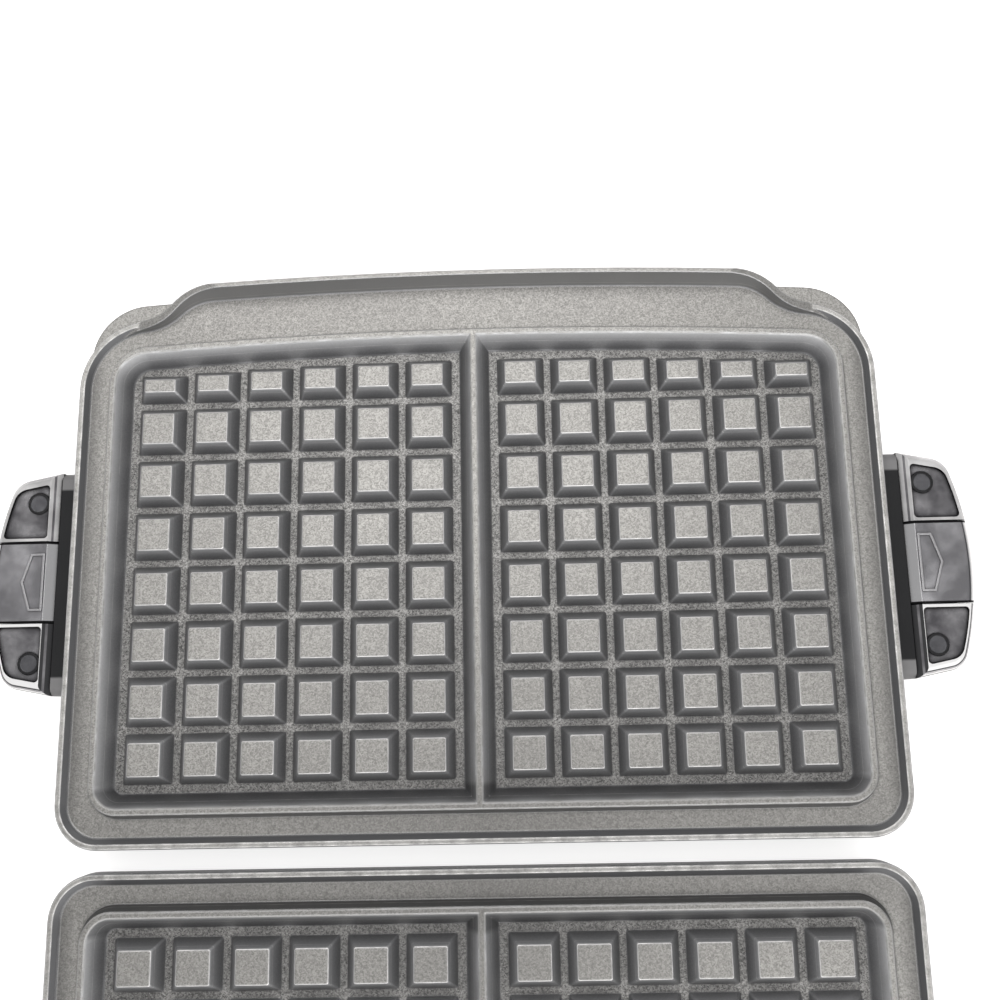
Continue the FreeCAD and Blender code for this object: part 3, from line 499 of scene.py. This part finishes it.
def dress():
    """Gives every node the material of its slot."""
    round_piece = (1.0, 1.0, 1.0)
    flat_piece = (1.0, 14.0, 1.0)
    materials = {
        "nonstick_casting": nonstick(),
        "grip_plastic": grip(),
        "tab_plastic": tab(),
        "bracket_plastic": bracket(),
        "plug_plastic": plug(),
        "block_plastic": moulded("block_plastic", (0.060, 0.052, 0.045), (0.11, 0.10, 0.09), 0.55),
        "cover_sheet": enamel(),
        "element_sheath": metal("element_sheath", (0.16, 0.14, 0.13), (0.30, 0.27, 0.25), 0.45, round_piece),
        "plated_steel": metal("plated_steel", (0.48, 0.48, 0.49), (0.64, 0.64, 0.65), 0.32, flat_piece),
        "spring_steel": metal("spring_steel", (0.40, 0.40, 0.42), (0.55, 0.55, 0.57), 0.25, round_piece),
        "contact_brass": metal("contact_brass", (0.62, 0.45, 0.18), (0.80, 0.62, 0.30), 0.24, flat_piece),
        "cutout_case": metal("cutout_case", (0.52, 0.52, 0.53), (0.70, 0.70, 0.71), 0.30, round_piece),
    }
    for piece in frame["record"]["subparts"]:
        mesh = frame["nodes"][piece["node"]].data
        mesh.materials.clear()
        mesh.materials.append(materials[piece["material_slot"]])


def springs():
    """Return springs, which shorten against their post as the tab slides out: each is copied into an object
    of its own on the joint's parent body, and its imported node is hidden.
    """
    for joint in frame["record"]["behaviour"]["joints"]:
        for spring in joint.get("deforming_nodes", []):
            node = spring["node"]
            coil = bpy.data.objects.new(node + "_coils", frame["nodes"][node].data.copy())
            bpy.context.scene.collection.objects.link(coil)
            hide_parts(node)
            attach(coil, joint["parent"])
            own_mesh(coil)


def seen_directly(nodes, links):
    """1 for rays that show the background: from the camera, in reflections and through glass."""
    path = nodes.new("ShaderNodeLightPath")
    total = path.outputs["Is Camera Ray"]
    for name in ("Is Glossy Ray", "Is Transmission Ray"):
        node = nodes.new("ShaderNodeMath")
        node.operation = "MAXIMUM"
        links.new(total, node.inputs[0])
        links.new(path.outputs[name], node.inputs[1])
        total = node.outputs[0]
    return total


def swept_floor():
    """Mesh of a round floor that sweeps up into a low wall, far from the part."""
    sectors = 96
    bends = 16
    profile = []
    for bend in range(bends + 1):
        angle = math.pi / 2 * bend / bends
        rise = SWEEP_RADIUS * (1 - math.cos(angle))
        profile.append((FLOOR_RADIUS + SWEEP_RADIUS * math.sin(angle), rise - FLOOR_DROP))
    profile.append((FLOOR_RADIUS + SWEEP_RADIUS, WALL_TOP))
    vertices = []
    for radius, height in profile:
        for sector in range(sectors):
            turn = 2 * math.pi * sector / sectors
            vertices.append((radius * math.cos(turn), radius * math.sin(turn), height))
    faces = [tuple(range(sectors))]
    for ring in range(len(profile) - 1):
        low = ring * sectors
        high = low + sectors
        for sector in range(sectors):
            after = (sector + 1) % sectors
            faces.append((low + sector, high + sector, high + after, low + after))
    mesh = bpy.data.meshes.new("studio_floor")
    mesh.from_pydata(vertices, [], faces)
    mesh.shade_smooth()
    return mesh


def floor():
    """White floor and backdrop, which keep the part's shadow and glow only where they are seen."""
    mesh = swept_floor()
    plane = bpy.data.objects.new("studio_floor", mesh)
    bpy.context.scene.collection.objects.link(plane)
    material = bpy.data.materials.new("studio_floor")
    material.use_nodes = True
    nodes = material.node_tree.nodes
    links = material.node_tree.links
    nodes.remove(nodes["Principled BSDF"])
    diffuse = nodes.new("ShaderNodeBsdfDiffuse")
    diffuse.inputs["Color"].default_value = FLOOR_COLOUR
    glow = nodes.new("ShaderNodeEmission")
    strength = nodes.new("ShaderNodeMath")
    strength.operation = "MULTIPLY"
    strength.inputs[1].default_value = FLOOR_GLOW
    links.new(seen_directly(nodes, links), strength.inputs[0])
    links.new(strength.outputs[0], glow.inputs["Strength"])
    both = nodes.new("ShaderNodeAddShader")
    links.new(diffuse.outputs[0], both.inputs[0])
    links.new(glow.outputs[0], both.inputs[1])
    links.new(both.outputs[0], nodes["Material Output"].inputs["Surface"])
    mesh.materials.append(material)


def world():
    """Even grey light from all round."""
    made = bpy.data.worlds.new("studio")
    bpy.context.scene.world = made
    made.use_nodes = True
    made.node_tree.nodes["Background"].inputs["Color"].default_value = WORLD_COLOUR


def softbox(name, centre, target, size, watts):
    """Rectangular lamp of a width and height in metres, turned to a target."""
    light = bpy.data.lights.new(name, "AREA")
    light.shape = "RECTANGLE"
    light.size, light.size_y = size
    light.energy = watts
    lamp = bpy.data.objects.new(name, light)
    lamp.location = centre
    lamp.rotation_mode = "QUATERNION"
    lamp.rotation_quaternion = (Vector(target) - Vector(centre)).to_track_quat("-Z", "Y")
    bpy.context.scene.collection.objects.link(lamp)


def camera():
    """Looks down on the lower plate from just behind its middle, as the photograph does."""
    data = bpy.data.cameras.new("camera")
    data.sensor_width = 36.0
    data.lens = 37.908
    data.clip_start = 0.01
    made = bpy.data.objects.new("camera", data)
    place = (0.01906, -0.06494, 0.43935)
    right = Vector((0.99945708, -0.01954973, -0.02652088))
    up = Vector((0.02438500, 0.98022048, 0.19640054))
    back = Vector((0.02215673, -0.19694063, 0.98016502))
    turn = Matrix((right, up, back)).transposed().to_4x4()
    made.matrix_world = Matrix.Translation(place) @ turn
    bpy.context.scene.collection.objects.link(made)
    bpy.context.scene.camera = made


bpy.context.scene.view_settings.view_transform = "Standard"
dress()
springs()
floor()
world()
softbox("overhead", (-0.08, 0.45, 1.2), (0.0, 0.0, 0.0), (1.2, 1.2), 8.6)
softbox("near", (0.30, -1.15, 0.92), (0.0, -0.05, 0.0), (2.4, 1.6), 17.0)
camera()
